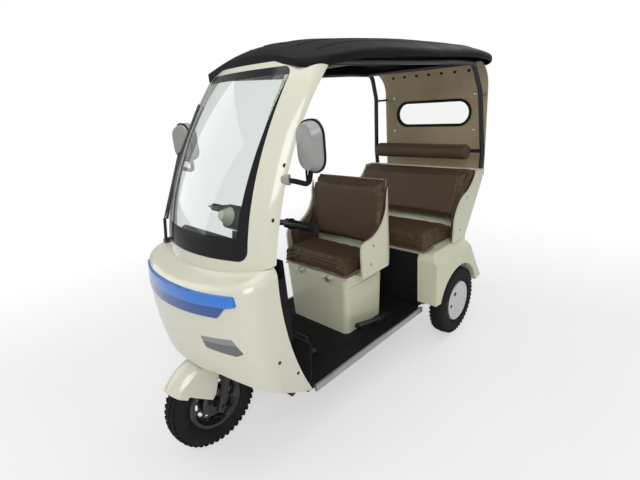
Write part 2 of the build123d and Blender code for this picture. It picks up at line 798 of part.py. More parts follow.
def brake_pedal():
    """Foot brake pad on an arm through the floor."""
    x = 150.0
    arm = bent_tube(
        [at(x, 420, FLOOR_Z + 4), at(x, 400, FLOOR_Z + 60), at(x, 360, FLOOR_Z + 88)], 14, 6
    )
    foot = box(x - 16, x + 16, FRONT + 404, FRONT + 440, FLOOR_Z + FIT, FLOOR_Z + 8)
    pad = Pos(*at(x, 358, FLOOR_Z + 90)) * Rot(50, 0, 0) * fillet(Box(70, 56, 12).edges(), 4)
    return arm + foot + pad


def wheel_well(extra):
    """Space kept clear round both rear wheels."""
    space = None
    for x0, x1 in ((WELL_X - extra, 460), (-460, extra - WELL_X)):
        drum = Plane(origin=(x0, REAR, TYRE_R), z_dir=(1, 0, 0)) * Cylinder(
            ARCH_R + extra, x1 - x0, align=LOW
        )
        space = drum if space is None else space + drum
    return space


def rear_body():
    """Rear moulding: both fenders, the deck under the bench and the tail box."""
    y = REAR
    x_out = BODY_X + 26
    view = side_face(
        Line((y - 178, 250), (y + BODY_FRONT, 256)),
        Line((y + BODY_FRONT, 256), (y + BODY_FRONT, BENCH_Z - 40)),
        ThreePointArc((y + BODY_FRONT, BENCH_Z - 40), (y + BODY_FRONT + 12, BENCH_Z - 12),
                      (y + BODY_FRONT + 40, BENCH_Z)),
        Line((y + BODY_FRONT + 40, BENCH_Z), (y + 96, BENCH_Z)),
        ThreePointArc((y + 96, BENCH_Z), (y + 152, 420), (y + 262, 250)),
        Line((y + 262, 250), (y + 196, 238)),
        ThreePointArc((y + 196, 238), (y + 10, TYRE_R + ARCH_R + 2), (y - 178, 250)),
    )
    body = side_plate(view, -x_out, x_out)
    tail = box(-WELL_X - 40, WELL_X + 40, y - 60, y + TAIL_S, TAIL_LOW_Z, BENCH_Z)
    tail = fillet(tail.edges().filter_by(Axis.Z).sort_by(Axis.Y)[-2:], 70)
    body += tail
    body -= wheel_well(0)
    hollow = box(-WELL_X + 8, WELL_X - 8, y + BODY_FRONT - 10, y + TAIL_S - 8, 150, BENCH_Z - DECK_T)
    body -= hollow
    for side in (-1, 1):
        cut = Plane(origin=(side * x_out, REAR, BENCH_Z), z_dir=(side * 0.78, 0, 0.62))
        body -= cut * Pos(0, 0, 400 - 30) * Box(800, 1200, 800)
    return body


def bench_front():
    """Black panel below the bench cushion."""
    y0 = REAR + BODY_FRONT
    return box(-WELL_X + 8 + FIT, WELL_X - 8 - FIT, y0, y0 + 6, FLOOR_Z - 4, BENCH_Z - 8 - FIT)


def bench_side_view(front, extra):
    """Side view of the bench wing and reclined back."""
    y = REAR
    z0 = BENCH_Z + FIT
    return side_face(
        Line((y - 30 + front, z0), (y - 22 + front, 620)),
        ThreePointArc((y - 22 + front, 620), (y + 20 + front, 706), (y + 84 + front, 752)),
        ThreePointArc((y + 84 + front, 752), (y + 172 + front, 796), (y + 216, BENCH_TOP + extra)),
        Line((y + 216, BENCH_TOP + extra), (y + 296, BENCH_TOP + extra)),
        Line((y + 296, BENCH_TOP + extra), (y + 284, 800)),
        Line((y + 284, 800), (y + 96, z0)),
        Line((y + 96, z0), (y - 30 + front, z0)),
    )


def bench_shell():
    """Side wings and back shell of the bench."""
    wall = 8.0
    outer = side_plate(bench_side_view(0, 0), -BENCH_X, BENCH_X)
    inner = side_plate(bench_side_view(0, 0), -BENCH_X + wall, BENCH_X - wall)
    return outer - Pos(0, -wall - 2, 0) * inner - Pos(0, -40, 10) * inner


def bench_cushion():
    """Bench cushion across the deck."""
    y0 = REAR + BODY_FRONT - 6
    pad = box(-BENCH_X + 34, BENCH_X - 34, y0, y0 + 292, BENCH_Z + FIT, BENCH_Z + BENCH_CUSHION_T)
    return fillet(pad.edges(), 18)


def bench_back_pad():
    """Reclined bench back pad with wrap-round ends."""
    y = REAR
    low = BENCH_Z + BENCH_CUSHION_T + FIT
    z0 = BENCH_Z + FIT
    rear_low = 96 + 188 * (low - z0) / (800 - z0) - 10 - FIT
    face = side_face(
        Polyline(
            (y + 62, low), (y + 176, BENCH_TOP), (y + 286 - FIT, BENCH_TOP), (y + 274 - FIT, 800),
            (y + rear_low, low), close=True,
        )
    )
    return side_plate(face, -BENCH_X + 34, BENCH_X - 34)


def canopy_frame():
    """Rear posts that bend forward into the roof rails, with cross bars."""
    frame = None
    for side in (-1, 1):
        post = [
            rear(side * POST_FOOT_X, POST_FOOT_S, BENCH_Z + FIT), rear(side * (POST_X - 7), POST_S, 800),
            rear(side * POST_X, POST_S, 930), rear(side * (RAIL_X + 14), POST_S - 16, 1250),
            rear(side * RAIL_X, POST_S - 72, RAIL_Z), rear(side * RAIL_X, 40, RAIL_Z + 6),
            at(side * RAIL_X, 470, RAIL_Z + 2),
        ]
        tube = bent_tube(post, 60, POST_R)
        frame = tube if frame is None else frame + tube
    frame += rod(rear(-RAIL_X, 200, RAIL_Z + 2), rear(RAIL_X, 200, RAIL_Z + 2), POST_R)
    frame += rod(at(-RAIL_X, 560, RAIL_Z + 2), at(RAIL_X, 560, RAIL_Z + 2), POST_R)
    frame += rod(rear(-POST_X, POST_S, ROLL_Z), rear(POST_X, POST_S, ROLL_Z), ROLL_BAR_R)
    for side in (-1, 1):
        for z, x in ((960, POST_X), (1235, RAIL_X + 16)):
            frame += rod(rear(side * x, POST_S - 10, z), rear(side * PANEL_CLIP_X, PANEL_S - PANEL_T - 2.4, z), 6)
    return frame - box(-500, 500, REAR - 100, REAR + 500, BENCH_Z - 100, BENCH_Z + FIT)


def headrest():
    """Padded roll on the cross bar."""
    s = POST_S - ROLL_BAR_R - ROLL_R - FIT
    roll = rod(rear(-ROLL_X, s, ROLL_Z), rear(ROLL_X, s, ROLL_Z), ROLL_R)
    return fillet(roll.edges(), 16)


def rear_panel():
    """Rear curtain panel that curves forward to the roof, with its window cut."""
    t = PANEL_T
    y = REAR + PANEL_S
    face = side_face(
        Line((y, 800), (y, 1270)),
        ThreePointArc((y, 1270), (y - 30, 1350), (y - 110, 1396)),
        Line((y - 110, 1396), (y - 110, 1396 - t)),
        ThreePointArc((y - 110, 1396 - t), (y - 30 - t, 1348), (y - t, 1270)),
        Line((y - t, 1270), (y - t, 800)),
        Line((y - t, 800), (y, 800)),
    )
    panel = side_plate(face, -330, 330)
    window = extrude(Plane.XZ * Pos(0, 1143) * SlotOverall(470, 130), -2000, both=True)
    return panel - window


def rear_window():
    """Window pane with its rubber seal."""
    y = REAR + PANEL_S
    seal = extrude(Plane.XZ.offset(-y - 3) * Pos(0, 1143) * SlotOverall(492, 152), 3)
    seal -= extrude(Plane.XZ.offset(-y - 20) * Pos(0, 1143) * SlotOverall(456, 116), 60)
    pane = extrude(Plane.XZ.offset(-y) * Pos(0, 1143) * SlotOverall(469.4, 129.4), 3)
    return seal + pane


def roof_face(half_w, edge_z, crown_z, s, inset, drop):
    """Cross-section of the roof: lip, crown and open underside."""
    lip = edge_z + ROOF_LIP - drop
    w = half_w - inset
    face = make_face(
        Curve() + [
            Line((-w, edge_z - drop - inset), (-w, lip)),
            ThreePointArc((-w, lip), (0, crown_z - inset), (w, lip)),
            Line((w, lip), (w, edge_z - drop - inset)),
            Line((w, edge_z - drop - inset), (-w, edge_z - drop - inset)),
        ]
    )
    corners = face.vertices().sort_by(Axis.Z)[-2:]
    face = fillet(corners, min(ROOF_FILLET, ROOF_LIP * 0.5))
    return Plane.XZ.offset(-(FRONT + s)) * face


def roof_outer():
    """Outer form of the roof, closed underneath."""
    return loft([roof_face(w, e, c, s, 0, 0) for s, w, e, c in ROOF_SECTIONS])


def roof_block():
    """Roof form with the arch over the windscreen cut out of its ends."""
    arch = make_face(
        Curve() + [
            ThreePointArc((-ROOF_ARCH_X, 1370), (0, ROOF_ARCH_Z), (ROOF_ARCH_X, 1370)),
            Line((ROOF_ARCH_X, 1370), (ROOF_ARCH_X, 1300)),
            Line((ROOF_ARCH_X, 1300), (-ROOF_ARCH_X, 1300)),
            Line((-ROOF_ARCH_X, 1300), (-ROOF_ARCH_X, 1370)),
        ]
    )
    return roof_outer() - extrude(Plane.XZ * arch, 3000, both=True)


def roof():
    """Crowned roof moulding with a turned-down rim."""
    inner = []
    last = len(ROOF_SECTIONS) - 1
    for i, (s, w, e, c) in enumerate(ROOF_SECTIONS):
        shift = ROOF_WALL if i == 0 else -ROOF_WALL if i == last else 0
        inner.append(roof_face(w, e, c, s + shift, ROOF_WALL, 0))
    return roof_block() - loft(inner)


def rear_axle():
    """Axle tube, drive housing, motor and trailing arms."""
    half = TRACK / 2
    axle = rod(rear(-half - 10, 0, TYRE_R), rear(half + 10, 0, TYRE_R), AXLE_R + 4)
    axle += rod(rear(-half + 60, 0, TYRE_R), rear(half - 60, 0, TYRE_R), AXLE_TUBE_R)
    axle += rod(rear(-45, 0, TYRE_R), rear(75, 0, TYRE_R), 68)
    axle += rod(rear(75, 0, TYRE_R), rear(200, 0, TYRE_R), 78)
    arm_x = RAIL_TUBE_X + RAIL_TUBE_R + 12 + FIT
    for x in (-arm_x, arm_x):
        axle += rod(rear(x, 0, TYRE_R + 4), rear(x, ARM_S, rail_height()), 12)
    return axle


def rear_shocks():
    """Coil-over shock absorbers between axle and frame."""
    shocks = []
    low = TYRE_R + AXLE_TUBE_R + FIT
    high = KICK_Z - RAIL_TUBE_R - FIT
    for x in (-RAIL_TUBE_X, RAIL_TUBE_X):
        body = rod(rear(x, 0, low), rear(x, 0, high), 12)
        coil = rod(rear(x, 0, low + 18), rear(x, 0, high - 16), 22)
        shocks.append(body + coil)
    return shocks


def tail_lamps():
    """Tail lamps on the rear faces of the fenders."""
    lamp = box(150, 250, REAR + TAIL_S + FIT, REAR + TAIL_S + 16, 420, 470)
    return both(fillet(lamp.edges(), 5))


def front_tyre():
    """Tyre of the steered wheel."""
    return Pos(0, FRONT, TYRE_R) * tyre()


def front_wheel_rim():
    """Rim of the steered wheel."""
    return Pos(0, FRONT, TYRE_R) * front_rim()


BUILDERS = {
    "front_tyre": front_tyre,
    "front_rim": front_wheel_rim,
    "front_fork": front_fork,
    "front_fender": front_fender,
    "handlebar": handlebar,
    "hand_grips": grips,
    "brake_levers": brake_levers,
    "instrument_pod": instrument_pod,
    "column_cowl": column_cowl,
    "nacelle": nacelle,
    "nose_shell": nose_shell,
    "screen_frame": screen_frame,
    "windshield": windshield,
    "light_bar": light_bar,
    "headlamps": headlamps,
    "inner_apron": inner_apron,
    "dash_tray": dash_tray,
    "wiper": wiper,
    "mirrors": mirror_units,
    "floor_pan": floor_pan,
    "sill_trims": sill_trims,
    "chassis_frame": chassis_frame,
    "seat_box": seat_box,
    "seat_hinge": seat_hinge,
    "battery_pack": battery_pack,
    "driver_seat_shell": driver_seat_shell,
    "driver_cushion": driver_cushion,
    "driver_back_pad": driver_back_pad,
    "hand_brake": hand_brake,
    "brake_pedal": brake_pedal,
    "rear_body": rear_body,
    "bench_front": bench_front,
    "bench_shell": bench_shell,
    "bench_cushion": bench_cushion,
    "bench_back_pad": bench_back_pad,
    "canopy_frame": canopy_frame,
    "headrest": headrest,
    "rear_panel": rear_panel,
    "rear_window": rear_window,
    "roof": roof,
    "rear_axle": rear_axle,
    "rear_shocks": rear_shocks,
    "tail_lamps": tail_lamps,
}


def rear_wheels():
    """Tyre, rim and cover of each rear wheel, by node name."""
    nodes = {}
    for side, sign in (("left", 1), ("right", -1)):
        place = Pos(sign * TRACK / 2, REAR, TYRE_R)
        turn = Rot(0, 0, 0 if sign > 0 else 180)
        nodes["rear_tyre_" + side] = place * tyre()
        nodes["rear_rim_" + side] = place * turn * rear_rim()
        nodes["wheel_cover_" + side] = place * turn * wheel_cover()
    return nodes


def write(name, shape):
    """Write one node as a STEP file."""
    pieces = shape if isinstance(shape, list) else [shape]
    solids = [solid for piece in pieces for solid in piece.solids()]
    shape = solids[0] if len(solids) == 1 else Compound(children=solids)
    export_step(shape, os.path.join("parts", name + ".step"))


def main():
    """Build every node and write it."""
    os.makedirs("parts", exist_ok=True)
    for name, build in BUILDERS.items():
        write(name, build())
    for name, shape in rear_wheels().items():
        write(name, shape)


if __name__ == "__main__":
    main()
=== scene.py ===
"""Looks of the roofed passenger tricycle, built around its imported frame."""

import json
import logging
import math
from dataclasses import dataclass
from enum import Enum
from typing import Dict, List, Optional, Sequence, Tuple, Union

import bpy
from mathutils import Matrix, Vector


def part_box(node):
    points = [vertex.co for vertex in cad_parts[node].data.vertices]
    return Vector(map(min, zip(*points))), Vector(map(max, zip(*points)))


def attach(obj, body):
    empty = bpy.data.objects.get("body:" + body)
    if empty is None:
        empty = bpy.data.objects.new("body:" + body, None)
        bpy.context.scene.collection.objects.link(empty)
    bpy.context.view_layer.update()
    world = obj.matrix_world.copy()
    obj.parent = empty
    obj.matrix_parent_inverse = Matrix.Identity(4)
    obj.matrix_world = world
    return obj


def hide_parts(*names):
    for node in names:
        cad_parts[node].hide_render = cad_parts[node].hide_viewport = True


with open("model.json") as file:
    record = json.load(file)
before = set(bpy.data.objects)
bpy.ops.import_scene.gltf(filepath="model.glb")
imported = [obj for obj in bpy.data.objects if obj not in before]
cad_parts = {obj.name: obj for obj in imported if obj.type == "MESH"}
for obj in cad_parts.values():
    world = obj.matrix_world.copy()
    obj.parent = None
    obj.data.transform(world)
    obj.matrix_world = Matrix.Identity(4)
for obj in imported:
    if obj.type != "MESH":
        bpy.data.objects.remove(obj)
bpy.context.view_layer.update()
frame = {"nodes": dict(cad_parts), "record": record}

LOG = logging.getLogger("tricycle")

Colour = Tuple[float, float, float]
Point = Tuple[float, float, float]


class Body(Enum):
    """Bodies that carry the pieces."""

    CHASSIS = "chassis"
    STEERING = "steering"
    FRONT_WHEEL = "front_wheel"
    REAR_LEFT = "rear_wheel_left"
    REAR_RIGHT = "rear_wheel_right"
    DRIVER_SEAT = "driver_seat"


class Signal:
    """One socket's output, with the arithmetic that a material needs."""

    def __init__(self, shader: "Shader", socket: bpy.types.NodeSocket) -> None:
        """Wrap a socket of the shader's tree."""
        self.shader = shader
        self.socket = socket

    def _math(self, operation: str, first: object, second: object) -> "Signal":
        """Add one Math node on two values."""
        return self.shader.node("ShaderNodeMath", {"operation": operation}, {0: first, 1: second})

    def __add__(self, other: object) -> "Signal":
        """Sum."""
        return self._math("ADD", self, other)

    def __radd__(self, other: object) -> "Signal":
        """Reflected sum."""
        return self._math("ADD", other, self)

    def __sub__(self, other: object) -> "Signal":
        """Difference."""
        return self._math("SUBTRACT", self, other)

    def __rsub__(self, other: object) -> "Signal":
        """Reflected difference."""
        return self._math("SUBTRACT", other, self)

    def __mul__(self, other: object) -> "Signal":
        """Product."""
        return self._math("MULTIPLY", self, other)

    def __rmul__(self, other: object) -> "Signal":
        """Reflected product."""
        return self._math("MULTIPLY", other, self)

    def __gt__(self, other: object) -> "Signal":
        """1 where this is above the other value."""
        return self._math("GREATER_THAN", self, other)

    def __lt__(self, other: object) -> "Signal":
        """1 where this is below the other value."""
        return self._math("LESS_THAN", self, other)

    def __abs__(self) -> "Signal":
        """Size without sign."""
        return self._math("ABSOLUTE", self, 0.0)

    def sine(self) -> "Signal":
        """Sine of this value."""
        return self._math("SINE", self, 0.0)

    def larger(self, other: object) -> "Signal":
        """The larger of two values."""
        return self._math("MAXIMUM", self, other)

    def smaller(self, other: object) -> "Signal":
        """The smaller of two values."""
        return self._math("MINIMUM", self, other)

    def ramp(self, low: float, high: float, to_low: float = 0.0, to_high: float = 1.0) -> "Signal":
        """Map a range of this value onto another, clamped."""
        return self.shader.node(
            "ShaderNodeMapRange", {"clamp": True},
            {"Value": self, "From Min": low, "From Max": high, "To Min": to_low, "To Max": to_high},
        )


class Shader:
    """One material with its node tree."""

    def __init__(self, name: str) -> None:
        """Start a material that holds one Principled shader."""
        self.material = bpy.data.materials.new(name)
        self.material.use_nodes = True
        self.tree = self.material.node_tree
        self.surface = self.tree.nodes["Principled BSDF"]
        self.output = self.tree.nodes["Material Output"]

    def node(
        self, kind: str, settings: Optional[Dict[str, object]] = None,
        values: Optional[Dict[Union[int, str], object]] = None, out: Union[int, str] = 0,
    ) -> Signal:
        """Add a node.

        Args:
            kind: Blender's type name of the node.
            settings: properties set before the sockets.
            values: numbers or links, by socket name or place.
            out: the output wanted.

        Returns:
            The wanted output.
        """
        node = self.tree.nodes.new(kind)
        for key, value in (settings or {}).items():
            setattr(node, key, value)
        for key, value in (values or {}).items():
            self.feed(node.inputs[key], value)
        return Signal(self, node.outputs[out])

    def feed(self, socket: bpy.types.NodeSocket, value: object) -> None:
        """Link or set one input socket."""
        if isinstance(value, Signal):
            self.tree.links.new(value.socket, socket)
        elif socket.type == "RGBA" and len(value) == 3:
            socket.default_value = (*value, 1.0)
        else:
            socket.default_value = value

    def place(self) -> Signal:
        """Object coordinates, in metres in the frame."""
        return self.node("ShaderNodeTexCoord", out="Object")

    def axes(self) -> Tuple[Signal, Signal, Signal]:
        """The three object coordinates on their own."""
        split = self.tree.nodes.new("ShaderNodeSeparateXYZ")
        self.feed(split.inputs[0], self.place())
        return tuple(Signal(self, output) for output in split.outputs)

    def noise(self, scale: float, detail: float = 4.0, rough: float = 0.5) -> Signal:
        """Noise on object coordinates, 0 to 1."""
        return self.node(
            "ShaderNodeTexNoise", None,
            {"Vector": self.place(), "Scale": scale, "Detail": detail, "Roughness": rough},
        )

    def cells(self, scale: float, feature: str = "F1") -> Signal:
        """Distance in a cell pattern on object coordinates."""
        return self.node(
            "ShaderNodeTexVoronoi", {"feature": feature}, {"Vector": self.place(), "Scale": scale}
        )

    def tint(self, factor: Signal, first: object, second: object) -> Signal:
        """Mix two colours by a factor."""
        mix = self.tree.nodes.new("ShaderNodeMix")
        mix.data_type = "RGBA"
        self.feed(mix.inputs[0], factor)
        self.feed(mix.inputs[6], first)
        self.feed(mix.inputs[7], second)
        return Signal(self, mix.outputs[2])

    def bump(self, height: Signal, strength: float, distance: float) -> None:
        """Raise the surface's normal by a height."""
        normal = self.node(
            "ShaderNodeBump", None, {"Height": height, "Strength": strength, "Distance": distance}
        )
        self.feed(self.surface.inputs["Normal"], normal)

    def set(self, **values: object) -> None:
        """Feed inputs of the Principled shader, with _ for spaces in their names."""
        for key, value in values.items():
            self.feed(self.surface.inputs[key.replace("_", " ")], value)


def dark(colour: Colour, share: float) -> Colour:
    """A colour scaled by a share."""
    return tuple(channel * share for channel in colour)


@dataclass(frozen=True)
class Moulding:
    """Gloss moulded plastic with a lacquer coat and faint waviness."""

    name: str
    colour: Colour
    roughness: float = 0.22
    coat: float = 0.8

    def material(self) -> bpy.types.Material:
        """Build the material."""
        shader = Shader(self.name)
        cloud = shader.noise(5.0, 3.0)
        dust = shader.noise(240.0, 2.0)
        colour = shader.tint(cloud.ramp(0.35, 0.65), self.colour, dark(self.colour, 0.965))
        shader.set(Base_Color=colour, Coat_Weight=self.coat, Coat_Roughness=0.06, IOR=1.5)
        shader.set(Roughness=dust.ramp(0.3, 0.8, self.roughness * 0.9, self.roughness * 1.3))
        shader.bump(shader.noise(38.0, 1.0), 0.05, 0.002)
        return shader.material


@dataclass(frozen=True)
class Grained:
    """Moulded plastic or rubber with a fine grain."""

    name: str
    colour: Colour
    grain: float = 700.0
    depth: float = 0.35
    roughness: float = 0.55
    worn: float = 1.5

    def material(self) -> bpy.types.Material:
        """Build the material."""
        shader = Shader(self.name)
        cells = shader.cells(self.grain)
        cloud = shader.noise(9.0, 4.0)
        colour = shader.tint(cloud.ramp(0.4, 0.75), self.colour, dark(self.colour, self.worn))
        shader.set(Base_Color=colour, Specular_IOR_Level=0.14)
        shader.set(Roughness=cloud.ramp(0.3, 0.7, self.roughness * 0.9, self.roughness * 1.12))
        shader.bump(cells + shader.noise(self.grain * 0.4, 2.0) * 0.5, self.depth, 0.0006)
        return shader.material


@dataclass(frozen=True)
class Painted:
    """Powder-coated or lacquered metal."""

    name: str
    colour: Colour
    roughness: float = 0.35
    metallic: float = 0.0
    coat: float = 0.3

    def material(self) -> bpy.types.Material:
        """Build the material."""
        shader = Shader(self.name)
        peel = shader.noise(320.0, 2.0)
        cloud = shader.noise(14.0, 3.0)
        colour = shader.tint(cloud.ramp(0.4, 0.7), self.colour, dark(self.colour, 1.18))
        shader.set(Base_Color=colour, Metallic=self.metallic, Coat_Weight=self.coat)
        shader.set(Roughness=cloud.ramp(0.3, 0.7, self.roughness * 0.85, self.roughness * 1.15))
        shader.bump(peel, 0.08, 0.0005)
        return shader.material


@dataclass(frozen=True)
class Leather:
    """Seat leather: pebbled grain with soft creases."""

    name: str
    colour: Colour
    pebble: float = 420.0
    roughness: float = 0.46

    def material(self) -> bpy.types.Material:
        """Build the material."""
        shader = Shader(self.name)
        pebbles = shader.cells(self.pebble, "SMOOTH_F1")
        crease = shader.noise(26.0, 5.0, 0.6)
        tone = shader.noise(7.0, 3.0)
        colour = shader.tint(tone.ramp(0.35, 0.7), dark(self.colour, 0.88), dark(self.colour, 1.14))
        colour = shader.tint(pebbles.ramp(0.1, 0.7), colour, dark(self.colour, 0.74))
        shader.set(Base_Color=colour, Specular_IOR_Level=0.35)
        shader.set(Roughness=tone.ramp(0.3, 0.7, self.roughness * 0.9, self.roughness * 1.15))
        shader.bump(crease * 0.6 - pebbles * 0.5, 0.45, 0.0012)
        return shader.material


@dataclass(frozen=True)
class Fritted:
    """Windscreen glass with a black printed border along its edges."""

    name: str
    colour: Colour
    half_low: float = 0.218
    half_high: float = 0.236
    low_z: float = 0.872
    high_z: float = 1.362

    def material(self) -> bpy.types.Material:
        """Build the material."""
        shader = Shader(self.name)
        x, _, z = shader.axes()
        haze = shader.noise(3.0, 3.0)
        shader.set(Base_Color=self.colour, Transmission_Weight=1.0, IOR=1.45)
        shader.set(Roughness=haze.ramp(0.4, 0.8, 0.02, 0.035))
        edge = z.ramp(self.low_z, self.high_z, self.half_low, self.half_high)
        border = (abs(x) > edge).larger((z < self.low_z).larger(z > self.high_z))
        print_ink = shader.tree.nodes.new("ShaderNodeBsdfPrincipled")
        print_ink.inputs["Base Color"].default_value = (0.008, 0.008, 0.009, 1.0)
        print_ink.inputs["Roughness"].default_value = 0.16
        mix = shader.tree.nodes.new("ShaderNodeMixShader")
        shader.feed(mix.inputs[0], border)
        shader.tree.links.new(shader.surface.outputs[0], mix.inputs[1])
        shader.tree.links.new(print_ink.outputs[0], mix.inputs[2])
        shader.tree.links.new(mix.outputs[0], shader.output.inputs["Surface"])
        return shader.material


@dataclass(frozen=True)
class Lens:
    """Moulded lens with fine flutes inside, painted lighter in its upper part and darker in its lower part
    as painted light and shade.
    """

    name: str
    # The first tone is the lens as lit from above, the second the same lens in painted shade below the
    # split height.
    lit_upper_tone: Colour
    lower: Colour
    shade_line_z: float
    metallic: float = 0.0

    def material(self) -> bpy.types.Material:
        """Build the material."""
        shader = Shader(self.name)
        x, _, z = shader.axes()
        flutes = (x * 520.0).sine()
        # Painted light and shade: lighter above the split height, darker below it.
        colour = shader.tint(z > self.shade_line_z, self.lower, self.lit_upper_tone)
        colour = shader.tint(flutes.ramp(-1.0, 1.0, 0.0, 0.25), colour, dark(self.lit_upper_tone, 0.5))
        shader.set(Base_Color=colour, Metallic=self.metallic, Coat_Weight=1.0, Coat_Roughness=0.03)
        shader.set(Roughness=shader.noise(60.0, 2.0).ramp(0.3, 0.7, 0.10, 0.16))
        shader.bump(flutes, 0.2, 0.0008)
        return shader.material


@dataclass(frozen=True)
class Glazing:
    """Clear or tinted glazing."""

    name: str
    colour: Colour
    roughness: float = 0.02

    def material(self) -> bpy.types.Material:
        """Build the material."""
        shader = Shader(self.name)
        haze = shader.noise(3.0, 3.0)
        shader.set(Base_Color=self.colour, Transmission_Weight=1.0, IOR=1.45)
        shader.set(Roughness=haze.ramp(0.4, 0.8, self.roughness, self.roughness + 0.015))
        return shader.material


CREAM = (0.78, 0.765, 0.63)
PANEL = (0.74, 0.74, 0.56)
BLACK = (0.008, 0.008, 0.009)
BROWN = (0.098, 0.061, 0.034)
BEIGE = (0.50, 0.40, 0.26)

FINISHES = {
    "cream_shell": Moulding("cream_shell", CREAM),
    "cream_panel": Moulding("cream_panel", PANEL, 0.32, 0.4),
    "black_plastic": Grained("black_plastic", BLACK),
    "dark_plastic": Grained("dark_plastic", (0.03, 0.03, 0.033), 500.0, 0.2, 0.4),
    "frame_paint": Painted("frame_paint", (0.012, 0.012, 0.013)),
    "rim_paint": Painted("rim_paint", (0.012, 0.012, 0.013), 0.25, 0.0, 0.7),
    "cover_silver": Painted("cover_silver", (0.66, 0.67, 0.68), 0.34, 0.6),
    "sill_alloy": Painted("sill_alloy", (0.45, 0.46, 0.48), 0.35, 0.9),
    "bright_metal": Painted("bright_metal", (0.75, 0.75, 0.76), 0.12, 1.0),
    "steel": Painted("steel", (0.35, 0.35, 0.36), 0.38, 0.9),
    "tyre_rubber": Grained("tyre_rubber", (0.014, 0.014, 0.014), 380.0, 0.25, 0.7, 1.8),
    "grip_rubber": Grained("grip_rubber", (0.012, 0.012, 0.012), 500.0, 0.3, 0.75),
    "seat_leather": Leather("seat_leather", BROWN),
    "curtain_leather": Leather("curtain_leather", BEIGE, 500.0, 0.5),
    "screen_glass": Fritted("screen_glass", (0.72, 0.76, 0.74)),
    "clear_pane": Glazing("clear_pane", (0.92, 0.93, 0.92)),
    # Both lenses are painted lighter above and darker below, as painted light and shade.
    "blue_lens": Lens("blue_lens", (0.02, 0.22, 0.78), (0.012, 0.07, 0.30), 0.684),
    "lamp_lens": Lens("lamp_lens", (0.32, 0.33, 0.34), (0.16, 0.165, 0.17), 0.548, 0.9),
    "red_lens": Glazing("red_lens", (0.6, 0.01, 0.01), 0.1),
    "piping_leather": Leather("piping_leather", (0.20, 0.125, 0.085)),
    "battery_case": Grained("battery_case", (0.02, 0.02, 0.022)),
    "mirror_shell": Moulding("mirror_shell", (0.34, 0.35, 0.34), 0.30, 0.5),
}


MADE: Dict[str, bpy.types.Material] = {}


def finish(name: str) -> bpy.types.Material:
    """Material of a finish, built once."""
    if name not in MADE:
        MADE[name] = FINISHES[name].material()
    return MADE[name]


def pick(*pieces: bpy.types.Object) -> None:
    """Select only these pieces and make the first one active."""
    bpy.ops.object.select_all(action="DESELECT")
    for piece in pieces:
        piece.select_set(True)
    bpy.context.view_layer.objects.active = pieces[0]


def settle(
    piece: bpy.types.Object, name: str, look: str, body: Body, angle: float = 40.0
) -> bpy.types.Object:
    """Apply a piece's transform, shade it, give it its finish and let it ride its body.

    Args:
        piece: the piece, in place.
        name: its name.
        look: name of its finish.
        body: the body that carries it.
        angle: edges sharper than this stay sharp, in degrees.

    Returns:
        The same piece.
    """
    pick(piece)
    bpy.ops.object.transform_apply(location=True, rotation=True, scale=True)
    bpy.ops.object.shade_smooth_by_angle(angle=math.radians(angle))
    piece.name = name
    piece.data.materials.clear()
    piece.data.materials.append(finish(look))
    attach(piece, body.value)
    return piece


def harden(piece: bpy.types.Object, kind: str, **settings: object) -> None:
    """Add one modifier with its settings and apply it.

    Args:
        piece: the piece it works on.
        kind: Blender's type name of the modifier.
        settings: the modifier's properties.
    """
    pick(piece)
    modifier = piece.modifiers.new(kind.lower(), kind)
    for key, value in settings.items():
        setattr(modifier, key, value)
    bpy.ops.object.modifier_apply(modifier=modifier.name)


def stud(
    name: str, at: Point, along: Point, radius: float, depth: float, look: str, body: Body
) -> bpy.types.Object:
    """A short round head that faces a direction, such as a screw or a clip.

    Args:
        name: its name.
        at: its middle.
        along: the direction it faces.
        radius: its radius.
        depth: its height.
        look: name of its finish.
        body: the body that carries it.

    Returns:
        The finished piece.
    """
    turn = Vector(along).to_track_quat("Z", "Y").to_euler()
    bpy.ops.mesh.primitive_cylinder_add(vertices=28, radius=radius, depth=depth, location=at, rotation=turn)
    piece = bpy.context.object
    pick(piece)
    bpy.ops.object.transform_apply(location=True, rotation=True, scale=True)
    harden(piece, "BEVEL", width=depth * 0.3, segments=2, limit_method="ANGLE")
    return settle(piece, name, look, body)


def bead(
    name: str, path: Sequence[Point], radius: float, look: str, body: Body, closed: bool = False
) -> bpy.types.Object:
    """A round bead along a path, such as piping, a seal or a moulded rib.

    Args:
        name: its name.
        path: points along its middle.
        radius: its radius.
        look: name of its finish.
        body: the body that carries it.
        closed: whether its ends meet.

    Returns:
        The finished piece.
    """
    line = bpy.data.curves.new(name, "CURVE")
    line.dimensions = "3D"
    spline = line.splines.new("POLY")
    spline.points.add(len(path) - 1)
    for point, spot in zip(spline.points, path):
        point.co = (*spot, 1.0)
    spline.use_cyclic_u = closed
    line.bevel_depth = radius
    line.bevel_resolution = 3
    line.use_fill_caps = True
    piece = bpy.data.objects.new(name, line)
    bpy.context.scene.collection.objects.link(piece)
    pick(piece)
    bpy.ops.object.convert(target="MESH")
    return settle(bpy.context.object, name, look, body, 60.0)


def rounded(corners: Sequence[Point], radius: float) -> List[Point]:
    """Round the corners of a path.

    Args:
        corners: the path's ends and corners.
        radius: radius of each bend.

    Returns:
        Points along the rounded path.
    """
    path = [Vector(corners[0])]
    for before, corner, after in zip(corners, corners[1:], corners[2:]):
        middle = Vector(corner)
        back = (Vector(before) - middle).normalized()
        on = (Vector(after) - middle).normalized()
        half = back.angle(on) / 2
        reach = radius / math.tan(half)
        start, end = middle + back * reach, middle + on * reach
        centre = middle + (back + on).normalized() * (radius / math.sin(half))
        for step in range(9):
            spot = start.lerp(end, step / 8)
            path.append(centre + (spot - centre).normalized() * radius)
    path.append(Vector(corners[-1]))
    return [tuple(point) for point in path]


